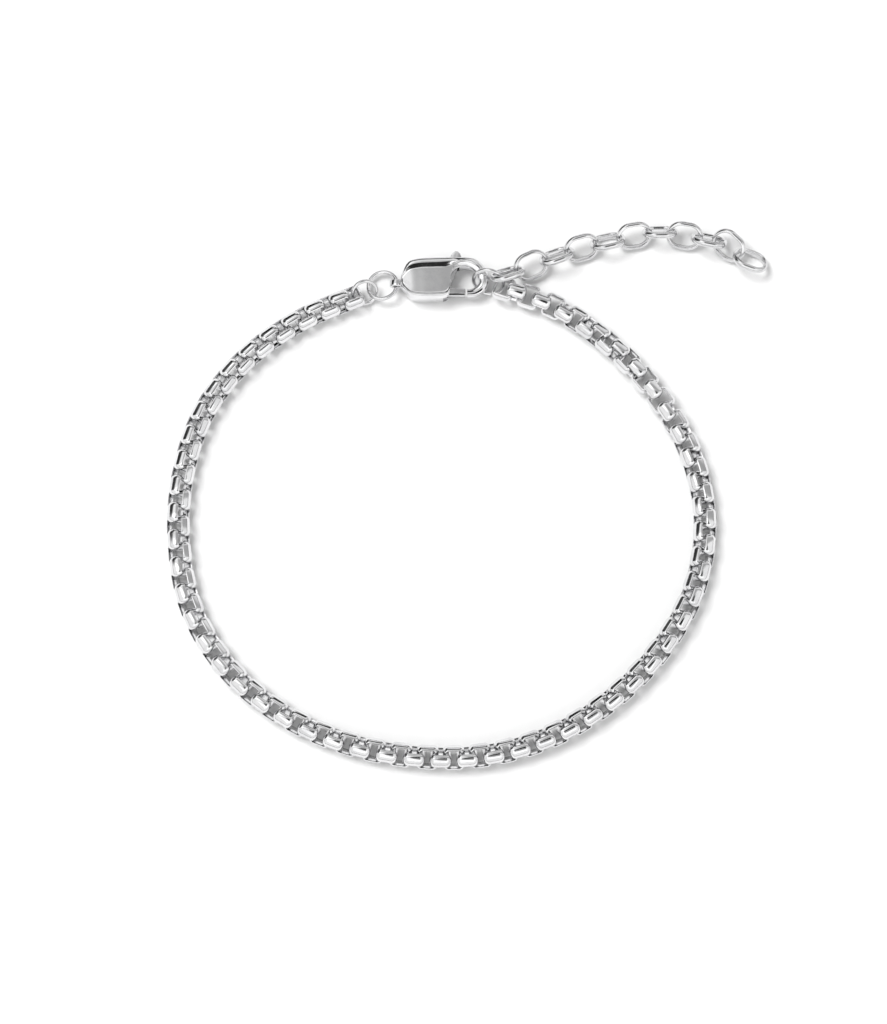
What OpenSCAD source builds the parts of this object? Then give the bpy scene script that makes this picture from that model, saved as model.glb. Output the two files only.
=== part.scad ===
// Box chain bracelet with a lobster clasp and an extender, lying in a loop on a flat surface.
// X runs to the right and Y away from the viewer, and Z is up from the surface.

/* [Box chain] */
// Outer width of a link, which is the diameter of the chain
chain_d = 2.76; // [2.6:0.02:2.84]
// Outer length of a link along the chain
link_l = 2.44; // [2.44:0.01:2.48]
// Width of the half-round strip that each link is bent from
strip_w = 1.46; // [1.3:0.02:1.6]
// Thickness of the strip at its middle
strip_t = 0.37; // [0.3:0.01:0.37]
// Thickness of the strip at its edges
strip_edge = 0.06; // [0.05:0.01:0.14]
// Outer radius of a link's corners
link_corner = 0.5; // [0.44:0.02:0.6]
// Height of the chain's centre line above the surface
chain_z = 1.44; // [1.44:0.01:1.6]

/* [Clasp] */
// Half of the clasp's greatest thickness, and the height of its middle plane
clasp_half = 1.5; // [1.4:0.05:1.7]
// Width of the bevelled rim round the clasp
rim_w = 0.3; // [0.2:0.05:0.35]
// Depth of the crease between the rim and the domed face
rim_dip = 0.14; // [0.05:0.01:0.2]
// Thickness of the lever
lever_t = 1.1; // [0.8:0.05:1.2]
// Clearance of the lever in its slot, on each side
lever_gap = 0.12; // [0.1:0.01:0.2]
// Radius of the pin that the lever turns on
pin_r = 0.3; // [0.2:0.05:0.35]
// Clearance of the lever round its pin
pin_gap = 0.05; // [0.04:0.01:0.08]
// How far the pin stops short of the clasp's two faces
pin_inset = 0.3; // [0.2:0.05:0.5]
// Outer radius of the eye at the clasp's neck
eye_r = 0.8; // [0.75:0.05:0.9]
// Radius of the hole in the eye
eye_hole_r = 0.45; // [0.4:0.01:0.5]
// Width of the eye along its hole
eye_w = 0.78; // [0.6:0.02:0.9]
// How far the eye's hole is set in towards the neck
eye_in = 0.12; // [0:0.01:0.2]

/* [Extender] */
// Outer length of an extender link
oval_l = 4.22; // [4.15:0.01:4.3]
// Outer breadth of an extender link
oval_b = 3.36; // [3.2:0.02:3.5]
// Width of the half-round strip of an extender link
oval_w = 0.76; // [0.6:0.05:0.9]
// Thickness of that strip at its middle
oval_t = 0.43; // [0.35:0.01:0.46]
// Thickness of that strip at its edges
oval_edge = 0.18; // [0.1:0.02:0.3]

/* [Hidden] */
$fn = 48;
silver = [0.86, 0.86, 0.87];
links = 109;
// Sides of the circles that a strip's dome and a ring's wire are cut from
dome_sides = 96;
wire_sides = 24;
// A length too small to show
sliver = 0.02;

// Brings the middle of the whole bracelet over the origin
centring = [-0.33, -0.6, 0];

// Centre line of the box chain from the clasp's eye round to its hook, as [x, y]
chain_route = [[-11.6, 23.4], [-18.7, 20.3], [-24.9, 15.8], [-29.5, 9.7], [-31.8, 2.4], [-32.1, -5.3],
    [-30.5, -12.8], [-26.4, -19.3], [-20.5, -24.2], [-13.5, -27.4], [-6, -28.9], [1.7, -28.8],
    [9.1, -26.7], [15.7, -22.7], [21.1, -17.3], [25, -10.6], [26.4, -3.1], [25.1, 4.5],
    [21.5, 11.3], [16.4, 17.1], [10.2, 21.6], [3, 24.25]];
// How the links are drawn out along the route, as [link number, distance along the route]
link_places = [[0, 1.5], [11, 17.6], [21, 32.1], [31, 47.2], [41, 62.2], [51, 77.1], [61, 91.6], [71, 106.1],
    [81, 120.9], [91, 135.4], [101, 150.2], [108, 160.68]];
// How the chain is rolled about its centre line, as [distance, angle of the odd links' upper face]
chain_roll = [[0, 33], [20, 35], [30, 36], [39, 32], [53, 31], [65, 30], [75, 28], [90, 27], [109, 27],
    [115, 29], [121, 36], [127, 38], [131, 46], [134, 55], [137, 68], [140, 82], [143, 98],
    [146, 117], [149, 130], [153, 150], [157, 169], [161, 187]];
// How far the last links are held up by their ring, as [distance, rise]
chain_rise = [[0, 0], [154, 0], [158, 0.12], [161, 0.15]];

// Round wire rings: the clasp's, the chain's and the hook's,
// as [centre, mean radius, wire radius, bearing of the high side, tilt]
rings = [
    [[-9.6, 24.35, 1.2], 1.66, 0.24, -43, 15],
    [[-11.6, 23.5, 1.35], 1.38, 0.22, 112, 41],
    [[2.39, 24.65, 1.68], 1.72, 0.21, 75.7, 54.8]];

// Extender links, as [centre, bearing of the long axis, roll about it, rise of the far end]
ovals = [
    [[4.55, 25.47, 2.02], 18.5, 121.2, -7.1],
    [[7.26, 26.6, 1.62], 24.9, 28.9, 0],
    [[10.12, 27.66, 1.58], 20.2, 126, 0.4],
    [[13, 28.69, 1.45], 16.2, 41, -1.8],
    [[15.95, 29.4, 1.5], 13, 130, 0],
    [[18.96, 30.1, 1.49], 9.8, 41.7, -2.7],
    [[21.9, 30.45, 1.65], 1, 120, 0],
    [[24.7, 30.15, 1.35], -10, 37, -1],
    [[27.45, 29.5, 1.6], -11, 123, 0],
    [[29.7, 29, 1.4], -43, 38, -5],
    [[32.1, 27.25, 1.4], -18, 144, -8]];

// Origin of the clasp's own tables, beside its eye
eye_at = [-8.13, 24.45, clasp_half];
// Outline of the clasp from its neck round to the hook's tip, across from the outer edge to the inner,
// as [outer x, outer y, inner x, inner y, half thickness]
clasp_outline = [
    [0.55, 0.32, 0.55, -0.37, 0.75],
    [0.83, 1.43, 0.96, -0.92, 1.05],
    [1.47, 2.41, 1.75, -1.68, 1.35],
    [2.66, 2.78, 2.89, -1.91, 1.48],
    [4.13, 2.86, 4.36, -1.93, 1.5],
    [5.38, 2.89, 5.81, -1.74, 1.5],
    [6.11, 2.93, 6.21, -0.8, 1.45],
    [6.68, 2.96, 6.27, 0.57, 1.38],
    [7.36, 2.98, 6.77, 1.54, 1.25],
    [8.15, 2.98, 7.7, 1.76, 1.1],
    [9.06, 2.81, 8.49, 1.66, 0.85],
    [9.9, 2.15, 9.07, 1.3, 0.66],
    [10.43, 1.15, 9.36, 0.65, 0.6],
    [10.48, 0.06, 9.4, 0.12, 0.58],
    [10.07, -0.9, 9.0, -0.42, 0.58],
    [9.17, -1.48, 8.5, -0.68, 0.6],
    [8.15, -1.61, 8.09, -0.72, 0.64]];
outline_steps = 2;
// Heights of the clasp's edge and of its shoulder, as shares of the half thickness there
edge_height = 0.5;
shoulder_height = 0.82;
// Places of the shoulder and of the crease inside the rim, as shares of the rim's width
shoulder_at = 0.35;
crease_at = 1.7;
// Share of the crease's depth that is left in the middle of the face
middle_dip = 0.2;
// Widths of the clasp between which the crease comes to its full depth
crease_from = 1.2;
crease_full = 2.7;
// Centre of the lever's pin
pivot = [5.3, -0.9];
// Outlines of the lever's gate and of its trigger arm, and the slot that they swing in, from the pin
gate_outline = [[0, -0.6], [2.6, -0.6], [2.62, 0.2], [0, 0.3]];
trigger_outline = [[0.55, -0.2], [2.15, 3.65], [2.15, 3.95], [2.0, 4.35], [1.75, 4.55], [1.5, 4.62],
    [1.25, 4.45], [0.95, 4.05], [0.87, 3.75], [-0.55, 0.2]];
gate_slot = [[0.1, -1.3], [1.7, -1.3], [1.7, 1.15], [0, 0.6]];
trigger_slot = [[0.78, -0.3], [2.4, 3.8], [2.7, 4.5], [-1.2, 4.5], [-0.8, -0.1]];
lever_hub_r = 0.68;

// One point of the smooth curve through p1 and p2, with p0 and p3 as its neighbours
function spline(p0, p1, p2, p3, u) =
    0.5 * (2 * p1 + (p2 - p0) * u + (2 * p0 - 5 * p1 + 4 * p2 - p3) * u * u
        + (3 * p1 - p0 - 3 * p2 + p3) * u * u * u);
// A list of rows joined by smooth curves, with a number of steps between each two rows
function smooth(rows, steps) =
    let (n = len(rows) - 1, all = concat([2 * rows[0] - rows[1]], rows, [2 * rows[n] - rows[n - 1]]))
    concat([for (i = [0 : n - 1], k = [0 : steps - 1])
        spline(all[i], all[i + 1], all[i + 2], all[i + 3], k / steps)], [rows[n]]);
// The distance along a curve at each of its points
function distances(curve) =
    [for (i = 0, s = 0; i < len(curve);
        s = s + (i + 1 < len(curve) ? norm(curve[i + 1] - curve[i]) : 0), i = i + 1) s];

route = smooth(chain_route, 12);
route_s = distances(route);
route_x = [for (i = [0 : len(route) - 1]) [route_s[i], route[i][0]]];
route_y = [for (i = [0 : len(route) - 1]) [route_s[i], route[i][1]]];
tangent_reach = 0.3;
function route_at(s) = [lookup(s, route_x), lookup(s, route_y), chain_z + lookup(s, chain_rise)];
function route_dir(s) =
    let (d = route_at(s + tangent_reach) - route_at(s - tangent_reach)) d / norm(d);

// Puts children at a point with their X and Y along two given directions
module placed(at, x, y) {
    z = cross(x, y);
    multmatrix([[x[0], y[0], z[0], at[0]], [x[1], y[1], z[1], at[1]], [x[2], y[2], z[2], at[2]]])
        children();
}

// Section of a half-round strip: X is outwards from the loop's centre, with the flat side at X = inner
module strip_section(inner, w, t, edge) {
    rise = t - edge;
    arc_r = (w * w / 4 + rise * rise) / (2 * rise);
    intersection() {
        translate([inner + t - arc_r, 0]) circle(arc_r, $fn = dome_sides);
        translate([inner, -w / 2]) square([t + sliver, w]);
    }
}

// A straight side of a loop, of given length, with its outer face at X = out
module strip_side(out, length, w, t, edge) {
    rotate([90, 0, 0]) translate([0, 0, -length / 2]) linear_extrude(length)
        strip_section(out - t, w, t, edge);
}

// A closed loop of half-round strip in the XY plane, with round corners
module strip_loop(l, b, corner, w, t, edge) {
    half_l = l / 2 - corner;
    half_b = b / 2 - corner;
    union() {
        for (q = [[1, 1, 0], [-1, 1, 90], [-1, -1, 180], [1, -1, 270]])
            translate([q[0] * half_l, q[1] * half_b, 0]) rotate([0, 0, q[2]])
                rotate_extrude(angle = 90) strip_section(corner - t, w, t, edge);
        for (turn = [0, 180]) {
            rotate([0, 0, turn + 90]) strip_side(b / 2, 2 * half_l, w, t, edge);
            if (half_b > sliver) rotate([0, 0, turn]) strip_side(l / 2, 2 * half_b, w, t, edge);
        }
    }
}

module box_link(number) {
    s = lookup(number, link_places);
    along = route_dir(s);
    outside = [along[1], -along[0], 0] / norm([along[0], along[1]]);
    // Each link is turned a quarter about the chain from the last
    roll = lookup(s, chain_roll) - 90 * ((number + 1) % 2);
    face = cos(roll) * cross(outside, along) + sin(roll) * outside;
    placed(centring + route_at(s), along, face)
        strip_loop(link_l, chain_d, link_corner, strip_w, strip_t, strip_edge);
}

module box_chain() {
    color(silver) for (number = [0 : links - 1]) box_link(number);
}

module wire_ring(index) {
    row = rings[index];
    color(silver) translate(centring + row[0]) rotate([0, 0, row[3]]) rotate([0, -row[4], 0])
        rotate_extrude() translate([row[1], 0]) circle(row[2], $fn = wire_sides);
}

module extender_link(index) {
    row = ovals[index];
    color(silver) translate(centring + row[0]) rotate([0, 0, row[1]]) rotate([0, -row[3], 0])
        rotate([row[2], 0, 0])
        strip_loop(oval_l, oval_b, oval_b / 2, oval_w, oval_t, oval_edge);
}

// The ring of points round the clasp's section at one row of its outline
function clasp_ring_points(row) =
    let (o = [row[0], row[1]], i = [row[2], row[3]], h = row[4], w = norm(i - o), d = (i - o) / w,
        b = min(rim_w, w / 4), crease = min(crease_at * b, w / 2 - sliver),
        dip = rim_dip * min(1, max(0, (w - crease_from) / (crease_full - crease_from))),
        upper = [[0, edge_height * h], [shoulder_at * b, shoulder_height * h], [b, h], [crease, h - dip],
            [w / 2, h - middle_dip * dip], [w - crease, h - dip], [w - b, h],
            [w - shoulder_at * b, shoulder_height * h], [w, edge_height * h]],
        lower = [for (k = [len(upper) - 1 : -1 : 0]) [upper[k][0], -upper[k][1]]])
    [for (p = concat(upper, lower)) [o[0] + d[0] * p[0], o[1] + d[1] * p[0], p[1]]];

// A solid through a list of rings with the same number of points each
module loft(stations) {
    m = len(stations[0]);
    n = len(stations) - 1;
    faces = concat([[for (k = [0 : m - 1]) k]],
        [for (i = [0 : n - 1], k = [0 : m - 1])
            [i * m + k, (i + 1) * m + k, (i + 1) * m + (k + 1) % m, i * m + (k + 1) % m]],
        [[for (k = [m - 1 : -1 : 0]) n * m + k]]);
    polyhedron([for (ring = stations, p = ring) p], faces, convexity = 6);
}

module clasp_body() {
    slot_h = lever_t + 2 * lever_gap;
    color(silver) translate(centring + eye_at) {
        difference() {
            loft([for (row = smooth(clasp_outline, outline_steps)) clasp_ring_points(row)]);
            translate([pivot[0], pivot[1], -slot_h / 2]) linear_extrude(slot_h) union() {
                circle(lever_hub_r + lever_gap);
                polygon(gate_slot);
                polygon(trigger_slot);
            }
        }
        translate([pivot[0], pivot[1], 0])
            cylinder(h = 2 * (clasp_half - pin_inset), r = pin_r, center = true);
        translate([eye_in, 0, 0]) rotate([90, 0, 0]) difference() {
            cylinder(h = eye_w, r = eye_r, center = true);
            cylinder(h = 2 * eye_w, r = eye_hole_r, center = true);
        }
    }
}

module clasp_lever() {
    color(silver) translate(centring + eye_at + [pivot[0], pivot[1], -lever_t / 2]) difference() {
        linear_extrude(lever_t) union() {
            circle(lever_hub_r);
            polygon(gate_outline);
            polygon(trigger_outline);
        }
        cylinder(h = 3 * lever_t, r = pin_r + pin_gap, center = true);
    }
}

box_chain();
clasp_body();
clasp_lever();
wire_ring(0);  // clasp_ring
wire_ring(1);  // chain_ring
wire_ring(2);  // hook_ring
extender_link(0);  // extender_link_01
extender_link(1);  // extender_link_02
extender_link(2);  // extender_link_03
extender_link(3);  // extender_link_04
extender_link(4);  // extender_link_05
extender_link(5);  // extender_link_06
extender_link(6);  // extender_link_07
extender_link(7);  // extender_link_08
extender_link(8);  // extender_link_09
extender_link(9);  // extender_link_10
extender_link(10);  // end_link
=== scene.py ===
"""Box chain bracelet with a lobster clasp and an extender, lying in a loop on a pale table."""
import math

import bmesh
import bpy
import numpy as np
from bpy.props import FloatProperty, FloatVectorProperty, IntProperty, PointerProperty
from bpy.types import Operator, Panel, PropertyGroup
from mathutils import Matrix, Vector


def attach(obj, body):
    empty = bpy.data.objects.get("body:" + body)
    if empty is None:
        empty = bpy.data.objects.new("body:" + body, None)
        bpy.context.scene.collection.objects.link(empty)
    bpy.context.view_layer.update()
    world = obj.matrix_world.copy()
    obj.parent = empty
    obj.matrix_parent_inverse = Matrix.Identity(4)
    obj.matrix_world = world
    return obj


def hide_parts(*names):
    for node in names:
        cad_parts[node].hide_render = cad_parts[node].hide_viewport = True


bl_info = {
    "name": "Box chain bracelet",
    "version": (1, 0, 0),
    "blender": (4, 5, 0),
    "location": "3D View > Sidebar > Bracelet",
    "description": "Makes a silver box chain bracelet, its lobster clasp and its extender",
    "category": "Add Mesh",
}

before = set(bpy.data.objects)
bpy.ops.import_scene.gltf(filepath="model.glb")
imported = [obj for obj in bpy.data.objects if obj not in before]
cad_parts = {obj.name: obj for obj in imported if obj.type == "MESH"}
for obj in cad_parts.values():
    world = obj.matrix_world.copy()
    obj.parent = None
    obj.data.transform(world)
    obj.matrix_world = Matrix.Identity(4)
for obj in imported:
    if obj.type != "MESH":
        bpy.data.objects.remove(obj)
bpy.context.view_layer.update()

MM = 0.001

# Points nearer than this are one point, in metres: on a piece made here, and on a CAD mesh
MERGE_DISTANCE = 1e-7
CAD_MERGE_DISTANCE = 1e-6

# Every place below is in millimetres on the table, and centring brings the whole over the origin
CENTRING = (-0.33, -0.6, 0)
CHAIN_ROUTE = (
    (-11.6, 23.4), (-18.7, 20.3), (-24.9, 15.8), (-29.5, 9.7), (-31.8, 2.4), (-32.1, -5.3),
    (-30.5, -12.8), (-26.4, -19.3), (-20.5, -24.2), (-13.5, -27.4), (-6, -28.9), (1.7, -28.8),
    (9.1, -26.7), (15.7, -22.7), (21.1, -17.3), (25, -10.6), (26.4, -3.1), (25.1, 4.5),
    (21.5, 11.3), (16.4, 17.1), (10.2, 21.6), (3, 24.25))
ROUTE_STEPS = 12
# How the links are drawn out along the route, as (link number, distance)
LINK_PLACES = (
    (0, 1.5), (11, 17.6), (21, 32.1), (31, 47.2), (41, 62.2), (51, 77.1), (61, 91.6), (71, 106.1),
    (81, 120.9), (91, 135.4), (101, 150.2), (108, 160.68))
# How the chain is rolled about its own line, as (distance, degrees)
CHAIN_ROLL = (
    (0, 33), (20, 35), (30, 36), (39, 32), (53, 31), (65, 30), (75, 28), (90, 27), (109, 27),
    (115, 29), (121, 36), (127, 38), (131, 46), (134, 55), (137, 68), (140, 82), (143, 98),
    (146, 117), (149, 130), (153, 150), (157, 169), (161, 187))
# How far the last links are held up by their ring, as (distance, rise)
CHAIN_RISE = ((0, 0), (154, 0), (158, 0.12), (161, 0.15))
TANGENT_REACH = 0.3

# Faces across the domed side of a strip, and how much of its edge is rounded
DOME_FACES = 12
STRIP_SOFTENING = 0.35
# Seed of the small difference in tone from one link to the next
TONE_SEED = 5

# Round wire rings: node, centre, mean radius, wire radius, bearing of the high side, tilt
RINGS = (
    ("clasp_ring", (-9.6, 24.35, 1.2), 1.66, 0.24, -43, 15),
    ("chain_ring", (-11.6, 23.5, 1.35), 1.38, 0.22, 112, 41),
    ("hook_ring", (2.39, 24.65, 1.68), 1.72, 0.21, 75.7, 54.8))
# Faces round a ring, and round its wire
RING_STEPS = 120
WIRE_STEPS = 28

# Extender links: centre, bearing of the long axis, roll about it, rise of the far end
OVALS = (
    ((4.55, 25.47, 2.02), 18.5, 121.2, -7.1),
    ((7.26, 26.6, 1.62), 24.9, 28.9, 0),
    ((10.12, 27.66, 1.58), 20.2, 126, 0.4),
    ((13, 28.69, 1.45), 16.2, 41, -1.8),
    ((15.95, 29.4, 1.5), 13, 130, 0),
    ((18.96, 30.1, 1.49), 9.8, 41.7, -2.7),
    ((21.9, 30.45, 1.65), 1, 120, 0),
    ((24.7, 30.15, 1.35), -10, 37, -1),
    ((27.45, 29.5, 1.6), -11, 123, 0),
    ((29.7, 29, 1.4), -43, 38, -5),
    ((32.1, 27.25, 1.4), -18, 144, -8))
OVAL_NODES = tuple(f"extender_link_{i:02d}" for i in range(1, len(OVALS))) + ("end_link",)

# The clasp's own tables start beside its eye, at half its thickness above the table
EYE_AT = (-8.13, 24.45)
# Its outline from the neck round to the hook's tip, across from the outer edge to the inner,
# as (outer x, outer y, inner x, inner y, half thickness)
CLASP_OUTLINE = (
    (0.55, 0.32, 0.55, -0.37, 0.85), (0.83, 1.43, 0.96, -0.92, 1.25),
    (1.47, 2.41, 1.75, -1.68, 1.45), (2.66, 2.78, 2.89, -1.91, 1.49),
    (4.13, 2.86, 4.36, -1.93, 1.5), (5.38, 2.89, 5.81, -1.74, 1.5),
    (6.11, 2.93, 6.21, -0.8, 1.45), (6.68, 2.96, 6.27, 0.57, 1.38),
    (7.36, 2.98, 6.77, 1.54, 1.25), (8.15, 2.98, 7.7, 1.76, 1.1),
    (9.06, 2.81, 8.49, 1.66, 0.85), (9.9, 2.15, 9.07, 1.3, 0.66),
    (10.43, 1.15, 9.36, 0.65, 0.6), (10.48, 0.06, 9.4, 0.12, 0.58),
    (10.07, -0.9, 9.0, -0.42, 0.58), (9.17, -1.48, 8.5, -0.68, 0.6),
    (8.15, -1.61, 8.09, -0.72, 0.64))
# Steps of the smooth curve between two rows of the outline, and between two of the section
OUTLINE_STEPS = 6
SECTION_STEPS = 4

# The body's section starts to be broad, with a cove in its face, at the first width, and is
# fully so when the second is added. Narrower, as on the hook, it is round.
BROAD_FROM = 1.2
BROAD_OVER = 1.5
# How much wider the rim is on the hook, and the most of a section that one rim takes
HOOK_RIM = 0.22
RIM_SHARE = 0.46
# A rim, as (share of its width, share of the half thickness)
RIM_CURVE = ((0, 0.5), (0.35, 0.82), (0.9, 0.94))
# The cove, as (share of the way from the rim's crest to the middle, share of the face's depth)
COVE_CURVE = ((0.17, 0.3), (0.34, 0.75), (0.6, 0.9))
# The face beyond the middle, in the same shares, and the least place of its far end
FACE_SPOTS = (0.2, 0.6)
FACE_END = 0.7

# The lever's pin and its slots, from the pin's middle
PIVOT = (5.3, -0.9)
GATE_SLOT = ((0.1, -1.3), (1.7, -1.3), (1.7, 1.15), (0, 0.6))
TRIGGER_SLOT = ((0.78, -0.3), (2.4, 3.8), (2.7, 4.5), (-1.2, 4.5), (-0.8, -0.1))
HUB_RADIUS = 0.68
# Faces round the hub's slot and round the pin
HUB_STEPS = 96
# How far the ends of the pin lie under the clasp's faces
PIN_INSET = 0.3
# Width of the lever's softened edges
LEVER_BEVEL = 0.06
# Rounding of the eye's edges, the faces round one edge and the faces round the eye
EYE_SOFTENING = 0.12
EYE_CORNER_STEPS = 4
EYE_STEPS = 72

# Heights of the rubbed lines and of the grain in the silver
LINE_HEIGHT = 0.002
GRAIN_HEIGHT = 0.0015
# How much duller one link may be than the next
LINK_DULLNESS = 0.25
# Shade of the table's tooth beside its own colour
TOOTH_SHADE = 0.985

# Places and sizes of the lights and the floor, in metres
KEY_PLACE = (-0.287, 0.2, 0.606)
KEY_SPREAD = (0.34, 0.34)
FRONT_PLACE = (0.05, -0.3, 0.45)
FRONT_SPREAD = (0.7, 0.4)
FLOOR_REACH = 1.5

# What the silver mirrors: the directions of a dark hood by the camera, of a dark flag and of
# the soft box, each with the air's shade by how well a ray points there, as (cosine, shade)
HOOD_AT = (0.16, -0.18, 0.97)
HOOD_SHADES = ((0.0, 1.0), (0.951, 1.0), (0.958, 0.5), (0.965, 0.03), (1.0, 0.02))
FLAG_AT = (-0.76, 0.57, 0.3)
FLAG_SHADES = ((0.0, 1.0), (0.82, 1.0), (0.88, 0.12), (1.0, 0.08))
BOX_AT = (-0.41, 0.286, 0.866)
BOX_SHADES = ((0.0, 1.0), (0.908, 1.0), (0.97, 2.1), (1.0, 2.2))
# The walls' shade from the front, at 0, to the back, at 1, and the air's shade by a ray's rise
WALL_SHADES = ((0.0, 1.0), (0.555, 1.0), (0.575, 0.46), (0.7, 0.43), (0.75, 0.8), (0.88, 0.95),
               (0.895, 0.04), (0.955, 0.04), (0.972, 0.8), (1.0, 0.95))
RISE_SHADES = ((0.0, 0.15), (0.05, 0.2), (0.11, 1.0), (1.0, 1.0))

# The picture is 1024 pixels high, which is 2500 times its view's slope
VIEW_HEIGHT = 1024
SLOPE_HEIGHT = 2500
SENSOR = 36.0
CAMERA_TARGET = (-3.03, -2.1, 0)


# ---------------------------------------------------------------- sizes and finishes

def size(label, description, millimetres):
    """A property that holds a length."""
    return FloatProperty(name=label, description=description, default=millimetres * MM,
                         min=0, subtype="DISTANCE", unit="LENGTH", precision=5)


class ChainSizes(PropertyGroup):
    """Sizes of the box chain."""
    links: IntProperty(name="Links", description="How many links the chain has",
                       default=109, min=2)
    link_length: size("Link length", "Outer length of a link along the chain", 2.44)
    chain_width: size("Chain width", "Outer width of a link across the chain", 2.76)
    strip_width: size("Strip width", "Width of the strip that a link is bent from", 1.46)
    strip_middle: size("Strip thickness", "Thickness of the strip at its middle", 0.37)
    strip_edge: size("Edge thickness", "Thickness of the strip at its edges", 0.06)
    corner: size("Corner radius", "Outer radius of a link's corners", 0.6)
    height: size("Height", "Height of the chain's line above the table", 1.44)
    corner_steps: IntProperty(name="Corner steps", description="Faces round one corner of a link",
                              default=6, min=2)


class ExtenderSizes(PropertyGroup):
    """Sizes of the oval links."""
    length: size("Link length", "Outer length of an oval link", 4.22)
    breadth: size("Link breadth", "Outer breadth of an oval link", 3.36)
    strip_width: size("Strip width", "Width of the half-round strip", 0.76)
    strip_middle: size("Strip thickness", "Thickness of the strip at its middle", 0.43)
    strip_edge: size("Edge thickness", "Thickness of the strip at its edges", 0.18)
    corner_steps: IntProperty(name="Corner steps", description="Faces round a quarter of a link",
                              default=20, min=2)


class ClaspSizes(PropertyGroup):
    """Sizes of the lobster clasp."""
    half_thickness: size("Half thickness", "Half of the clasp's greatest thickness", 1.5)
    rim_width: size("Rim width", "Width of the bevelled rim", 0.3)
    rim_depth: size("Rim depth", "Depth of the crease between the rim and the face", 0.14)
    lever_thickness: size("Lever thickness", "Thickness of the lever", 1.1)
    lever_gap: size("Lever gap", "Clearance of the lever in its slot", 0.12)
    pin_radius: size("Pin radius", "Radius of the pin that the lever turns on", 0.3)
    eye_radius: size("Eye radius", "Outer radius of the eye", 0.8)
    eye_hole: size("Eye hole", "Radius of the hole in the eye", 0.45)
    eye_width: size("Eye width", "Width of the eye along its hole", 0.78)
    eye_inset: size("Eye inset", "How far the eye is set in towards the neck", 0.12)


class SilverFinish(PropertyGroup):
    """Colour and polish of the silver."""
    silver: FloatVectorProperty(name="Silver", description="Colour of the polished silver",
                                default=(0.82, 0.82, 0.825), size=3, subtype="COLOR",
                                min=0, max=1)
    dull_silver: FloatVectorProperty(name="Dull silver",
                                     description="Colour where the silver is a little dull",
                                     default=(0.70, 0.70, 0.71), size=3, subtype="COLOR",
                                     min=0, max=1)
    polish: FloatProperty(name="Polish", description="Roughness of the best polished places",
                          default=0.07, min=0, max=1, subtype="FACTOR")
    wear: FloatProperty(name="Wear", description="Roughness that handling has added",
                        default=0.12, min=0, max=1, subtype="FACTOR")


class StudioSettings(PropertyGroup):
    """The table, the lights and the camera."""
    table: FloatVectorProperty(name="Table", description="Colour of the table",
                               default=(0.75, 0.75, 0.75), size=3, subtype="COLOR",
                               min=0, max=1)
    key_power: FloatProperty(name="Key light", description="Power of the main soft light",
                             default=4.4, min=0, unit="POWER")
    fill_power: FloatProperty(name="Fill light", description="Power of the fill light",
                              default=0.3, min=0, unit="POWER")
    air_strength: FloatProperty(name="Studio walls", description="Brightness of the white walls",
                                default=1.0, min=0)
    camera_distance: size("Camera distance", "From the camera to the middle of the picture", 280)
    camera_elevation: FloatProperty(name="Camera elevation", description="Above the table",
                                    default=math.radians(80), subtype="ANGLE", unit="ROTATION")


# ---------------------------------------------------------------- curves and places

def smooth(rows, steps):
    """Rows of the smooth curve through the given rows, with a number of steps between each two."""
    rows = np.array(rows, float)
    ends = np.vstack([2 * rows[0] - rows[1], rows, 2 * rows[-1] - rows[-2]])
    curve = []
    for p0, p1, p2, p3 in zip(ends, ends[1:], ends[2:], ends[3:]):
        for u in np.arange(steps) / steps:
            curve.append(0.5 * (2 * p1 + (p2 - p0) * u + (2 * p0 - 5 * p1 + 4 * p2 - p3) * u ** 2
                                + (3 * p1 - p0 - 3 * p2 + p3) * u ** 3))
    return np.array(curve + [rows[-1]])


def looked_up(table, at):
    """The value that a table of pairs gives at a place, in a straight line between its rows."""
    keys, values = zip(*table)
    return float(np.interp(at, keys, values))


def route_points(height):
    """A function of the distance along the chain that gives the point there, in millimetres."""
    route = smooth(CHAIN_ROUTE, ROUTE_STEPS)
    run = np.concatenate([[0], np.cumsum(np.linalg.norm(np.diff(route, axis=0), axis=1))])

    def point(s):
        return Vector((np.interp(s, run, route[:, 0]), np.interp(s, run, route[:, 1]),
                       height + looked_up(CHAIN_RISE, s)))
    return point


def chain_places(sizes):
    """The centre of each link of the box chain, its direction along the chain and its face."""
    point = route_points(sizes.height / MM)
    places = []
    for number in range(sizes.links):
        s = looked_up(LINK_PLACES, number)
        along = (point(s + TANGENT_REACH) - point(s - TANGENT_REACH)).normalized()
        outside = Vector((along.y, -along.x, 0)).normalized()
        # Each link is turned a quarter about the chain from the last
        roll = math.radians(looked_up(CHAIN_ROLL, s) - 90 * ((number + 1) % 2))
        face = math.cos(roll) * outside.cross(along) + math.sin(roll) * outside
        places.append(((point(s) + Vector(CENTRING)) * MM, along, face))
    return places


def extender_places():
    """The centre of each oval link, its long axis and its broad axis."""
    places = []
    for centre, bearing, roll, rise in OVALS:
        turn = (Matrix.Rotation(math.radians(bearing), 3, "Z")
                @ Matrix.Rotation(math.radians(-rise), 3, "Y")
                @ Matrix.Rotation(math.radians(roll), 3, "X"))
        places.append(((Vector(centre) + Vector(CENTRING)) * MM, turn.col[0], turn.col[1]))
    return places


def strip_outline(width, middle, edge):
    """Outline of a half-round strip: X is outwards from the loop, with the flat side at X = 0."""
    rise = middle - edge
    half = width / 2
    arc = (half ** 2 + rise ** 2) / (2 * rise)
    lean = math.asin(half / arc)
    dome = [(middle - arc + arc * math.cos(a), arc * math.sin(a))
            for a in np.linspace(lean, -lean, DOME_FACES + 1)]
    soft = STRIP_SOFTENING * edge
    return [(edge - soft, half)] + dome[1:-1] + [(edge - soft, -half), (soft, -half),
                                                 (0, soft - half), (0, half - soft), (soft, half)]


# ---------------------------------------------------------------- meshes and node trees

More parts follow.
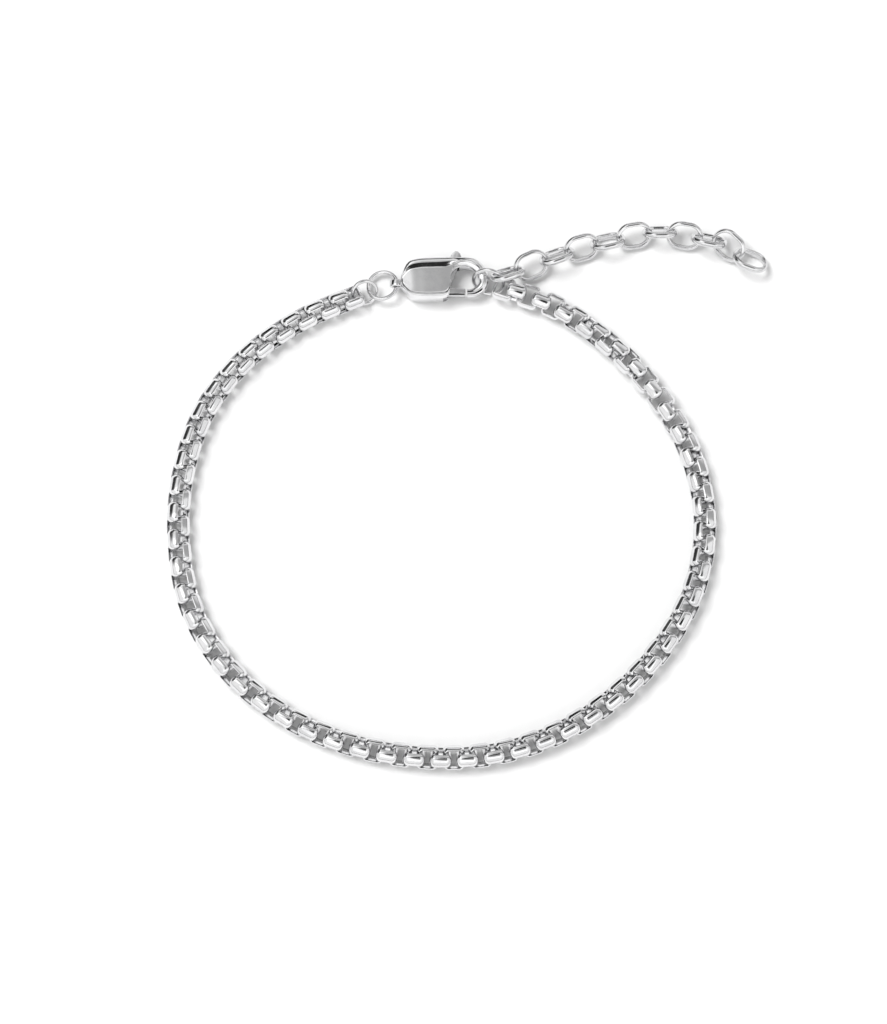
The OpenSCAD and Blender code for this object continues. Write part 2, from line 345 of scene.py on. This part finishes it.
def linked(name, data):
    """A new object in the scene."""
    thing = bpy.data.objects.new(name, data)
    bpy.context.scene.collection.objects.link(thing)
    return thing


def mesh_object(name, points, faces):
    """A new mesh object from points in metres."""
    mesh = bpy.data.meshes.new(name)
    mesh.from_pydata([tuple(p) for p in points], [], faces)
    mesh.update()
    return linked(name, mesh)


def section_curve(name, outline):
    """A closed flat curve for a sweep, from an outline."""
    curve = bpy.data.curves.new(name, "CURVE")
    curve.dimensions = "2D"
    curve.fill_mode = "NONE"
    spline = curve.splines.new("POLY")
    spline.points.add(len(outline) - 1)
    for spot, (x, y) in zip(spline.points, outline):
        spot.co = (x, y, 0, 1)
    spline.use_cyclic_u = True
    return linked(name, curve)


def tidy_faces(thing, sharp_degrees):
    """Turns the faces outwards, shades them smooth and marks the sharp edges."""
    shape = bmesh.new()
    shape.from_mesh(thing.data)
    bmesh.ops.remove_doubles(shape, verts=shape.verts, dist=MERGE_DISTANCE)
    bmesh.ops.recalc_face_normals(shape, faces=shape.faces)
    for face in shape.faces:
        face.smooth = True
    shape.to_mesh(thing.data)
    shape.free()
    thing.data.set_sharp_from_angle(angle=math.radians(sharp_degrees))


def made_plain(thing):
    """Applies an object's modifiers and leaves it a plain mesh with none."""
    seen = bpy.context.evaluated_depsgraph_get()
    mesh = bpy.data.meshes.new_from_object(thing.evaluated_get(seen),
                                           preserve_all_data_layers=True, depsgraph=seen)
    thing.modifiers.clear()
    thing.data = mesh
    mesh.name = thing.name


def add_node(tree, kind, inputs=None, **settings):
    """A new node with its own settings and its sockets' values or links."""
    made = tree.nodes.new(kind)
    for key, value in settings.items():
        setattr(made, key, value)
    for key, value in (inputs or {}).items():
        socket = made.inputs[key]
        if isinstance(value, bpy.types.NodeSocket):
            tree.links.new(value, socket)
        else:
            socket.default_value = value
    return made


def link_tree():
    """Node tree that puts a closed link of strip at each point, along two named directions."""
    tree = bpy.data.node_groups.new("Links on places", "GeometryNodeTree")
    sockets = (("Geometry", "NodeSocketGeometry"), ("Link length", "NodeSocketFloat"),
               ("Link width", "NodeSocketFloat"), ("Corner radius", "NodeSocketFloat"),
               ("Strip thickness", "NodeSocketFloat"), ("Corner steps", "NodeSocketInt"),
               ("Strip section", "NodeSocketObject"), ("Silver", "NodeSocketMaterial"))
    for name, kind in sockets:
        tree.interface.new_socket(name, in_out="INPUT", socket_type=kind)
    tree.interface.new_socket("Geometry", in_out="OUTPUT", socket_type="NodeSocketGeometry")
    given = tree.nodes.new("NodeGroupInput").outputs
    thick = add_node(tree, "ShaderNodeMath", {0: given["Strip thickness"], 1: 2.0},
                     operation="MULTIPLY").outputs[0]
    inner = [add_node(tree, "ShaderNodeMath", {0: given[name], 1: take},
                      operation="SUBTRACT").outputs[0]
             for name, take in (("Link length", thick), ("Link width", thick),
                                ("Corner radius", given["Strip thickness"]))]
    path = add_node(tree, "GeometryNodeCurvePrimitiveQuadrilateral",
                    {"Width": inner[0], "Height": inner[1]}).outputs[0]
    path = add_node(tree, "GeometryNodeFilletCurve",
                    {"Curve": path, "Count": given["Corner steps"], "Radius": inner[2],
                     "Limit Radius": True}, mode="POLY").outputs[0]
    path = add_node(tree, "GeometryNodeSetCurveNormal", {"Curve": path}, mode="Z_UP").outputs[0]
    section = add_node(tree, "GeometryNodeObjectInfo",
                       {"Object": given["Strip section"]}).outputs["Geometry"]
    link = add_node(tree, "GeometryNodeCurveToMesh",
                    {"Curve": path, "Profile Curve": section}).outputs[0]
    link = add_node(tree, "GeometryNodeMergeByDistance",
                    {"Geometry": link, "Distance": MERGE_DISTANCE}).outputs[0]
    named = [add_node(tree, "GeometryNodeInputNamedAttribute", {"Name": name},
                      data_type="FLOAT_VECTOR").outputs[0] for name in ("along", "face")]
    turn = add_node(tree, "FunctionNodeAxesToRotation",
                    {"Primary Axis": named[0], "Secondary Axis": named[1]},
                    primary_axis="X", secondary_axis="Y").outputs[0]
    row = add_node(tree, "GeometryNodeInstanceOnPoints",
                   {"Points": given["Geometry"], "Instance": link, "Rotation": turn}).outputs[0]
    tone = add_node(tree, "FunctionNodeRandomValue", {"Seed": TONE_SEED}, data_type="FLOAT")
    row = add_node(tree, "GeometryNodeStoreNamedAttribute",
                   {"Geometry": row, "Name": "link_tone", "Value": tone.outputs[1]},
                   data_type="FLOAT", domain="INSTANCE").outputs[0]
    row = add_node(tree, "GeometryNodeRealizeInstances", {"Geometry": row}).outputs[0]
    row = add_node(tree, "GeometryNodeSetMaterial",
                   {"Geometry": row, "Material": given["Silver"]}).outputs[0]
    tree.links.new(row, tree.nodes.new("NodeGroupOutput").inputs[0])
    return tree


def linked_strips(name, places, values, outline, finish):
    """One mesh of closed links of strip, one at each place."""
    thing = mesh_object(name, [centre for centre, _, _ in places], [])
    for column, key in ((1, "along"), (2, "face")):
        store = thing.data.attributes.new(key, "FLOAT_VECTOR", "POINT")
        for spot, place in zip(store.data, places):
            spot.vector = place[column]
    section = section_curve(name + "_section", outline)
    tree = bpy.data.node_groups.get("Links on places") or link_tree()
    values = dict(values, **{"Strip section": section, "Silver": finish})
    modifier = thing.modifiers.new("Links", "NODES")
    modifier.node_group = tree
    for item in tree.interface.items_tree:
        if item.in_out == "INPUT" and item.name in values:
            modifier[item.identifier] = values[item.name]
    made_plain(thing)
    bpy.data.objects.remove(section)
    tidy_faces(thing, sharp_degrees=50)
    return thing


def cut(thing, tool, operation):
    """Takes the tool away from a piece, or joins it to it, and deletes the tool."""
    modifier = thing.modifiers.new("Cut", "BOOLEAN")
    modifier.operation = operation
    modifier.solver = "EXACT"
    modifier.object = tool
    made_plain(thing)
    bpy.data.objects.remove(tool)


def prism(name, outline, low, high):
    """A straight solid between two heights, from an outline in the XY plane."""
    n = len(outline)
    points = [(x, y, z) for z in (low, high) for x, y in outline]
    faces = [list(range(n))[::-1], list(range(n, 2 * n))]
    faces += [[i, (i + 1) % n, n + (i + 1) % n, n + i] for i in range(n)]
    thing = mesh_object(name, points, faces)
    tidy_faces(thing, sharp_degrees=30)
    return thing


def circle_points(radius, count):
    """Points round a circle, as (x, y)."""
    angles = [2 * math.pi * i / count for i in range(count)]
    return [(radius * math.cos(a), radius * math.sin(a)) for a in angles]


def turned_ring(name, section, steps, placed):
    """A closed ring from a section of (radius, height), with a function that places a point."""
    count = len(section)
    points, faces = [], []
    for i in range(steps):
        a = 2 * math.pi * i / steps
        for j, (radius, height) in enumerate(section):
            points.append(placed(Vector((radius * math.cos(a), radius * math.sin(a), height))))
            k, after = (i + 1) % steps, (j + 1) % count
            faces.append((i * count + j, k * count + j, k * count + after, i * count + after))
    return mesh_object(name, points, faces)


def finish_piece(thing, body, nodes):
    """Says what a piece rides on and hides the CAD parts that it stands for."""
    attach(thing, body)
    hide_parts(*nodes)


# ---------------------------------------------------------------- finishes

def silver_material(name, finish, brushed, relief, matt=0.0):
    """Polished silver with soft dull places, fine rubbed lines and a faint unevenness.

    The strength of the lines is brushed, the height of the unevenness in millimetres is relief,
    and matt makes the whole darker and duller.
    """
    haze = matt / 3
    material = bpy.data.materials.new(name)
    material.use_nodes = True
    tree = material.node_tree
    shader = tree.nodes["Principled BSDF"]
    shader.inputs["Metallic"].default_value = 1.0
    place = tree.nodes.new("ShaderNodeTexCoord").outputs["Object"]
    clouds = add_node(tree, "ShaderNodeTexNoise",
                      {"Vector": place, "Scale": 420.0, "Detail": 4.0, "Roughness": 0.6})
    grains = add_node(tree, "ShaderNodeTexNoise",
                      {"Vector": place, "Scale": 5200.0, "Detail": 3.0, "Roughness": 0.7})
    turned = add_node(tree, "ShaderNodeMapping",
                      {"Vector": place, "Rotation": (0.2, 0.1, 0.7), "Scale": (1.0, 14.0, 6.0)})
    lines = add_node(tree, "ShaderNodeTexNoise",
                     {"Vector": turned.outputs[0], "Scale": 1500.0, "Detail": 5.0,
                      "Roughness": 0.75})
    tone = add_node(tree, "ShaderNodeAttribute", attribute_name="link_tone")
    dull = add_node(tree, "ShaderNodeMapRange",
                    {"Value": clouds.outputs["Fac"], "From Min": 0.42, "From Max": 0.7})
    each = add_node(tree, "ShaderNodeMath", {0: tone.outputs["Fac"], 1: LINK_DULLNESS},
                    operation="MULTIPLY")
    mixed = add_node(tree, "ShaderNodeMath",
                     {0: dull.outputs[0], 1: each.outputs[0]}, operation="ADD",
                     use_clamp=True)
    colour = add_node(tree, "ShaderNodeMix",
                      {"Factor": mixed.outputs[0],
                       "A": (*(c * (1 - matt) for c in finish.silver), 1),
                       "B": (*(c * (1 - matt) for c in finish.dull_silver), 1)},
                      data_type="RGBA")
    tree.links.new(colour.outputs["Result"], shader.inputs["Base Color"])
    rubbed = add_node(tree, "ShaderNodeMath",
                      {0: lines.outputs["Fac"], 1: mixed.outputs[0]}, operation="MULTIPLY")
    rough = add_node(tree, "ShaderNodeMapRange",
                     {"Value": rubbed.outputs[0], "From Min": 0.05, "From Max": 0.55,
                      "To Min": finish.polish + haze,
                      "To Max": finish.polish + finish.wear + haze})
    tree.links.new(rough.outputs[0], shader.inputs["Roughness"])
    low = add_node(tree, "ShaderNodeBump",
                   {"Height": clouds.outputs["Fac"], "Strength": 0.25, "Distance": relief * MM})
    fine = add_node(tree, "ShaderNodeBump",
                    {"Height": lines.outputs["Fac"], "Strength": brushed,
                     "Distance": LINE_HEIGHT * MM, "Normal": low.outputs[0]})
    finest = add_node(tree, "ShaderNodeBump",
                      {"Height": grains.outputs["Fac"], "Strength": 0.1,
                       "Distance": GRAIN_HEIGHT * MM, "Normal": fine.outputs[0]})
    tree.links.new(finest.outputs[0], shader.inputs["Normal"])
    return material


def table_material(colour):
    """Matt pale card with a very faint tooth."""
    material = bpy.data.materials.new("pale_table")
    material.use_nodes = True
    tree = material.node_tree
    shader = tree.nodes["Principled BSDF"]
    shader.inputs["Roughness"].default_value = 0.85
    shader.inputs["Specular IOR Level"].default_value = 0.2
    place = tree.nodes.new("ShaderNodeTexCoord").outputs["Object"]
    tooth = add_node(tree, "ShaderNodeTexNoise",
                     {"Vector": place, "Scale": 900.0, "Detail": 3.0})
    shade = add_node(tree, "ShaderNodeMix",
                     {"Factor": tooth.outputs["Fac"], "A": (*colour, 1),
                      "B": (*(TOOTH_SHADE * c for c in colour), 1)}, data_type="RGBA")
    tree.links.new(shade.outputs["Result"], shader.inputs["Base Color"])
    return material


# ---------------------------------------------------------------- pieces

class BRACELET_OT_box_chain(Operator):
    """Make the box chain from closed links of domed strip"""
    bl_idname = "bracelet.box_chain"
    bl_label = "Box chain"

    def execute(self, context):
        sizes = context.scene.bracelet_chain
        silver = silver_material("chain_silver", context.scene.bracelet_silver,
                                 brushed=0.35, relief=0.01)
        values = {"Link length": sizes.link_length, "Link width": sizes.chain_width,
                  "Corner radius": sizes.corner, "Strip thickness": sizes.strip_middle,
                  "Corner steps": sizes.corner_steps}
        outline = strip_outline(sizes.strip_width, sizes.strip_middle, sizes.strip_edge)
        chain = linked_strips("box_chain_links", chain_places(sizes), values, outline, silver)
        finish_piece(chain, "bracelet", ["box_chain"])
        return {"FINISHED"}


class BRACELET_OT_extender(Operator):
    """Make the extender from oval links of half-round strip"""
    bl_idname = "bracelet.extender"
    bl_label = "Extender"

    def execute(self, context):
        sizes = context.scene.bracelet_extender
        silver = silver_material("extender_silver", context.scene.bracelet_silver,
                                 brushed=0.3, relief=0.012, matt=0.08)
        values = {"Link length": sizes.length, "Link width": sizes.breadth,
                  "Corner radius": sizes.breadth / 2, "Strip thickness": sizes.strip_middle,
                  "Corner steps": sizes.corner_steps}
        outline = strip_outline(sizes.strip_width, sizes.strip_middle, sizes.strip_edge)
        extender = linked_strips("extender_links", extender_places(), values, outline, silver)
        finish_piece(extender, "bracelet", OVAL_NODES)
        return {"FINISHED"}


class BRACELET_OT_rings(Operator):
    """Make the three round wire rings"""
    bl_idname = "bracelet.rings"
    bl_label = "Wire rings"

    def execute(self, context):
        silver = silver_material("ring_silver", context.scene.bracelet_silver,
                                 brushed=0.3, relief=0.012, matt=0.08)
        for node, centre, mean, wire, bearing, tilt in RINGS:
            turn = (Matrix.Rotation(math.radians(bearing), 4, "Z")
                    @ Matrix.Rotation(math.radians(-tilt), 4, "Y"))

            def placed(spot):
                return (turn @ spot + Vector(centre) + Vector(CENTRING)) * MM

            section = [(mean + x, y) for x, y in circle_points(wire, WIRE_STEPS)]
            ring = turned_ring(node + "_wire", section, RING_STEPS, placed)
            tidy_faces(ring, sharp_degrees=60)
            ring.data.materials.append(silver)
            finish_piece(ring, "bracelet", [node])
        return {"FINISHED"}


def clasp_section(row, rim, depth):
    """Points round the clasp's section at one row of its outline."""
    outer, inner, half = Vector(row[:2]), Vector(row[2:4]), float(row[4])
    width = (inner - outer).length
    along = (inner - outer) / width
    # From 0, on the round hook, to 1, where the rim runs down to the face in a broad cove
    broad = min(1, max(0, (width - BROAD_FROM) / BROAD_OVER))
    rim = min(rim + HOOK_RIM * (1 - broad), RIM_SHARE * width)
    depth = depth * broad
    crest = rim * (1 + broad)
    reach = width / 2 - crest
    foot = max(width - 2 * rim, width / 2 + FACE_END * reach)
    upper = [(share * rim, height * half) for share, height in RIM_CURVE]
    upper.append((crest, half))
    upper += [(crest + share * reach, half - fall * depth) for share, fall in COVE_CURVE]
    upper += [(width / 2 + share * reach, half - depth) for share in FACE_SPOTS]
    upper += [(foot, half - depth), (width - rim, half)]
    upper += [(width - share * rim, height * half) for share, height in reversed(RIM_CURVE[:2])]
    upper = smooth(upper, SECTION_STEPS)
    both = [tuple(p) for p in upper] + [(x, -z) for x, z in upper[::-1]]
    return [Vector((*(outer + along * x), z)) for x, z in both]


class BRACELET_OT_clasp_body(Operator):
    """Make the lobster clasp's body, with its hook, its eye and the lever's pin"""
    bl_idname = "bracelet.clasp_body"
    bl_label = "Clasp body"

    def execute(self, context):
        sizes = context.scene.bracelet_clasp
        half = sizes.half_thickness / MM
        origin = Vector((*EYE_AT, half)) + Vector(CENTRING)
        stations = [clasp_section(row, sizes.rim_width / MM, sizes.rim_depth / MM)
                    for row in smooth(CLASP_OUTLINE, OUTLINE_STEPS)]
        count = len(stations[0])
        points = [(p + origin) * MM for station in stations for p in station]
        last = (len(stations) - 1) * count
        faces = [list(range(count)), [last + k for k in range(count - 1, -1, -1)]]
        faces += [(i * count + k, (i + 1) * count + k, (i + 1) * count + (k + 1) % count,
                   i * count + (k + 1) % count)
                  for i in range(len(stations) - 1) for k in range(count)]
        body = mesh_object("clasp_shell", points, faces)
        tidy_faces(body, sharp_degrees=40)
        gap = sizes.lever_gap / MM
        reach = sizes.lever_thickness / MM / 2 + gap
        pivot = origin + Vector((*PIVOT, 0))

        def at_pivot(outline):
            return [((pivot.x + x) * MM, (pivot.y + y) * MM) for x, y in outline]

        for outline in (circle_points(HUB_RADIUS + gap, HUB_STEPS), GATE_SLOT, TRIGGER_SLOT):
            slot = prism("slot", at_pivot(outline), (pivot.z - reach) * MM,
                         (pivot.z + reach) * MM)
            cut(body, slot, "DIFFERENCE")
        pin = prism("pin", at_pivot(circle_points(sizes.pin_radius / MM, HUB_STEPS)),
                    PIN_INSET * MM, (2 * half - PIN_INSET) * MM)
        cut(body, pin, "UNION")
        cut(body, clasp_eye(sizes, origin), "UNION")
        tidy_faces(body, sharp_degrees=32)
        body.data.materials.clear()
        body.data.materials.append(
            silver_material("clasp_silver", context.scene.bracelet_silver,
                            brushed=0.2, relief=0.008))
        finish_piece(body, "bracelet", ["clasp_body"])
        return {"FINISHED"}


def clasp_eye(sizes, origin):
    """The eye at the clasp's neck, a short tube across the clasp with rounded edges."""
    outer, hole = sizes.eye_radius / MM, sizes.eye_hole / MM
    half, soft = sizes.eye_width / MM / 2, EYE_SOFTENING
    corners = ((outer - soft, half - soft), (outer - soft, soft - half),
               (hole + soft, soft - half), (hole + soft, half - soft))
    section = []
    for corner, (radius, across) in enumerate(corners):
        for step in range(EYE_CORNER_STEPS + 1):
            a = math.radians(90 - 90 * corner - 90 * step / EYE_CORNER_STEPS)
            section.append((radius + soft * math.cos(a), across + soft * math.sin(a)))
    centre = origin + Vector((sizes.eye_inset / MM, 0, 0))
    eye = turned_ring("eye", section, EYE_STEPS, lambda spot: (centre + spot.xzy) * MM)
    tidy_faces(eye, sharp_degrees=40)
    return eye


class BRACELET_OT_clasp_lever(Operator):
    """Make the clasp's lever, with softened edges"""
    bl_idname = "bracelet.clasp_lever"
    bl_label = "Clasp lever"

    def execute(self, context):
        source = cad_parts["clasp_lever"]
        lever = linked("lever_gate_and_trigger", source.data.copy())
        shape = bmesh.new()
        shape.from_mesh(lever.data)
        bmesh.ops.remove_doubles(shape, verts=shape.verts, dist=CAD_MERGE_DISTANCE)
        bmesh.ops.dissolve_limit(shape, angle_limit=math.radians(2), verts=shape.verts,
                                 edges=shape.edges)
        shape.to_mesh(lever.data)
        shape.free()
        bevel = lever.modifiers.new("Soft edges", "BEVEL")
        bevel.width = LEVER_BEVEL * MM
        bevel.segments = 3
        bevel.limit_method = "ANGLE"
        bevel.angle_limit = math.radians(40)
        made_plain(lever)
        tidy_faces(lever, sharp_degrees=35)
        lever.data.materials.clear()
        lever.data.materials.append(
            silver_material("lever_silver", context.scene.bracelet_silver,
                            brushed=0.8, relief=0.02, matt=0.12))
        finish_piece(lever, "lever", ["clasp_lever"])
        return {"FINISHED"}


# ---------------------------------------------------------------- table, lights, camera

def soft_light(name, place, spread, power):
    """A large soft light at a place in metres, turned to the middle of the table."""
    data = bpy.data.lights.new(name, "AREA")
    data.shape = "RECTANGLE"
    data.size, data.size_y = spread
    data.energy = power
    light = linked(name, data)
    light.location = place
    light.rotation_euler = (-Vector(place)).to_track_quat("-Z", "Y").to_euler()
    return light


def colour_ramp(tree, value, stops):
    """A grey ramp over a value, from stops of (place, shade), the first at 0 and the last at 1."""
    ramp = add_node(tree, "ShaderNodeValToRGB", {"Fac": value})
    for place, _ in stops[1:-1]:
        ramp.color_ramp.elements.new(place)
    for stop, (place, shade) in zip(ramp.color_ramp.elements, stops):
        stop.position = place
        stop.color = (shade, shade, shade, 1)
    return ramp.outputs["Color"]


def studio_air(strength):
    """What the silver mirrors: pale walls, a soft box, a dark hood by the camera and a flag."""
    world = bpy.data.worlds.new("studio_air")
    world.use_nodes = True
    tree = world.node_tree
    air = tree.nodes["Background"]
    air.inputs["Strength"].default_value = strength
    direction = tree.nodes.new("ShaderNodeTexCoord").outputs["Generated"]
    axes = add_node(tree, "ShaderNodeSeparateXYZ", {0: direction})
    front_to_back = add_node(tree, "ShaderNodeMapRange",
                             {"Value": axes.outputs["Y"], "From Min": -1.0, "From Max": 1.0})

    def nearness(place):
        return add_node(tree, "ShaderNodeVectorMath", {0: direction, 1: place},
                        operation="DOT_PRODUCT").outputs["Value"]

    colour, *others = [colour_ramp(tree, value, stops) for value, stops in (
        (nearness(HOOD_AT), HOOD_SHADES), (front_to_back.outputs[0], WALL_SHADES),
        (nearness(FLAG_AT), FLAG_SHADES), (nearness(BOX_AT), BOX_SHADES),
        (axes.outputs["Z"], RISE_SHADES))]
    for other in others:
        colour = add_node(tree, "ShaderNodeVectorMath", {0: colour, 1: other},
                          operation="MULTIPLY").outputs[0]
    tree.links.new(colour, air.inputs["Color"])
    return world


class BRACELET_OT_stage(Operator):
    """Make the pale table, the soft lights and the camera"""
    bl_idname = "bracelet.stage"
    bl_label = "Table, lights and camera"

    def execute(self, context):
        studio = context.scene.bracelet_studio
        far = FLOOR_REACH
        floor = mesh_object("pale_floor",
                            [(-far, -far, 0), (far, -far, 0), (far, far, 0), (-far, far, 0)],
                            [(0, 1, 2, 3)])
        floor.data.materials.append(table_material(studio.table))
        key = soft_light("key_light", KEY_PLACE, KEY_SPREAD, studio.key_power)
        # The silver mirrors the soft box in the studio's air instead
        key.visible_glossy = False
        soft_light("front_light", FRONT_PLACE, FRONT_SPREAD, studio.fill_power)
        context.scene.world = studio_air(studio.air_strength)
        context.scene.view_settings.view_transform = "Standard"
        target = Vector(CAMERA_TARGET) * MM
        back = Vector((0, -math.cos(studio.camera_elevation), math.sin(studio.camera_elevation)))
        data = bpy.data.cameras.new("camera")
        data.sensor_width = SENSOR
        data.lens = SENSOR * SLOPE_HEIGHT / VIEW_HEIGHT
        data.clip_start, data.clip_end = 0.01, 20
        camera = linked("camera", data)
        camera.location = target + back * studio.camera_distance
        camera.rotation_euler = (-back).to_track_quat("-Z", "Y").to_euler()
        context.scene.camera = camera
        return {"FINISHED"}


PARTS = (BRACELET_OT_box_chain, BRACELET_OT_extender, BRACELET_OT_rings, BRACELET_OT_clasp_body,
         BRACELET_OT_clasp_lever, BRACELET_OT_stage)
SETTINGS = {"bracelet_chain": ChainSizes, "bracelet_extender": ExtenderSizes,
            "bracelet_clasp": ClaspSizes, "bracelet_silver": SilverFinish,
            "bracelet_studio": StudioSettings}


class BRACELET_PT_panel(Panel):
    """Lists the bracelet's pieces and their sizes"""
    bl_idname = "BRACELET_PT_panel"
    bl_label = "Box chain bracelet"
    bl_space_type = "VIEW_3D"
    bl_region_type = "UI"
    bl_category = "Bracelet"

    def draw(self, context):
        for group in SETTINGS:
            box = self.layout.box()
            settings = getattr(context.scene, group)
            box.label(text=settings.bl_rna.description)
            for key in settings.bl_rna.properties.keys():
                if key not in ("rna_type", "name"):
                    box.prop(settings, key)
        for part in PARTS:
            self.layout.operator(part.bl_idname)


CLASSES = (*SETTINGS.values(), *PARTS, BRACELET_PT_panel)


def register():
    for kind in CLASSES:
        bpy.utils.register_class(kind)
    for key, kind in SETTINGS.items():
        setattr(bpy.types.Scene, key, PointerProperty(type=kind))


def unregister():
    for key in SETTINGS:
        delattr(bpy.types.Scene, key)
    for kind in reversed(CLASSES):
        bpy.utils.unregister_class(kind)


def main():
    register()
    for part in PARTS:
        group, name = part.bl_idname.split(".")
        getattr(getattr(bpy.ops, group), name)()


if __name__ == "__main__":
    main()
